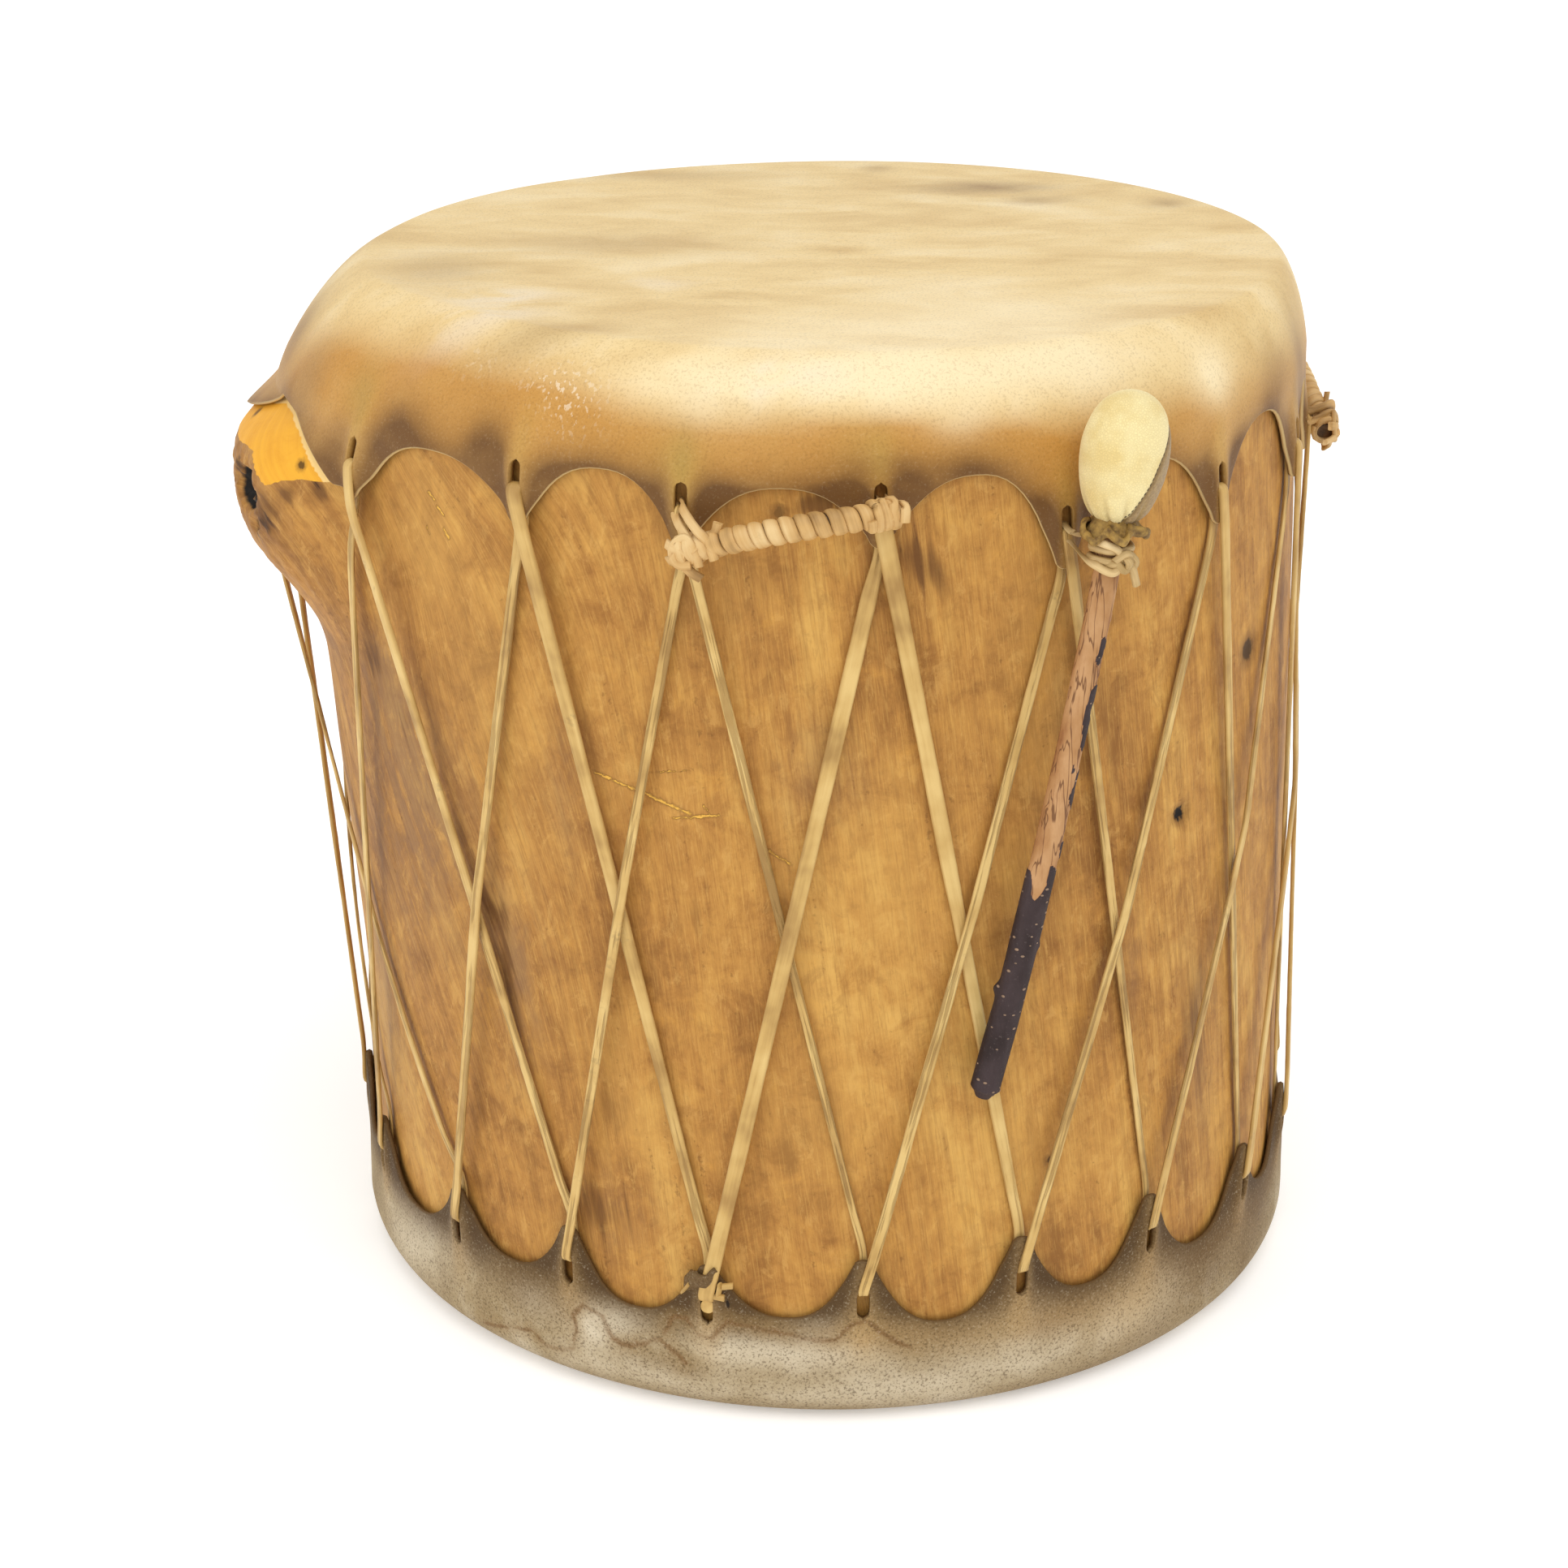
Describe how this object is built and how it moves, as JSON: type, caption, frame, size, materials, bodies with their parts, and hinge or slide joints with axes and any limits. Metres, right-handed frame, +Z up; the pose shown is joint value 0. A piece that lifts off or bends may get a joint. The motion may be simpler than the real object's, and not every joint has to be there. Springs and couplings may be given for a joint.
{
  "type": "log drum",
  "caption": "Hollow-log drum with rawhide heads laced over both ends, a branch knob on its side, wrapped lifting grips and a padded beater tied to a lacing tab; it stands on its lower head.",
  "frame": {"origin": "centre of the flat underside, on the axis of the log", "axes": "+Z up along the log, -Y towards the side with the beater and the first grip, +X to that side's right, away from the knob"},
  "size_m": [0.512, 0.4746, 0.48],
  "materials": {
    "log_wood": "hand-smoothed bare wood",
    "upper_hide": "bare rawhide, satin",
    "lower_hide": "bare rawhide, chalky",
    "lacing": "dry rawhide thong",
    "grip_wrap": "dry rawhide thong",
    "stick_wood": "part-peeled branch",
    "pad_leather": "soft tanned leather",
    "tie_thong": "soft leather thong"
  },
  "bodies": {
    "root": {"log_shell": "log_wood", "upper_head": "upper_hide", "lower_head": "lower_hide", "lace_one": "lacing", "lace_two": "lacing", "front_grip": "grip_wrap", "rear_grip": "grip_wrap", "beater_stick": "stick_wood", "beater_pad": "pad_leather", "beater_tie": "tie_thong"}
  },
  "joints": []
}
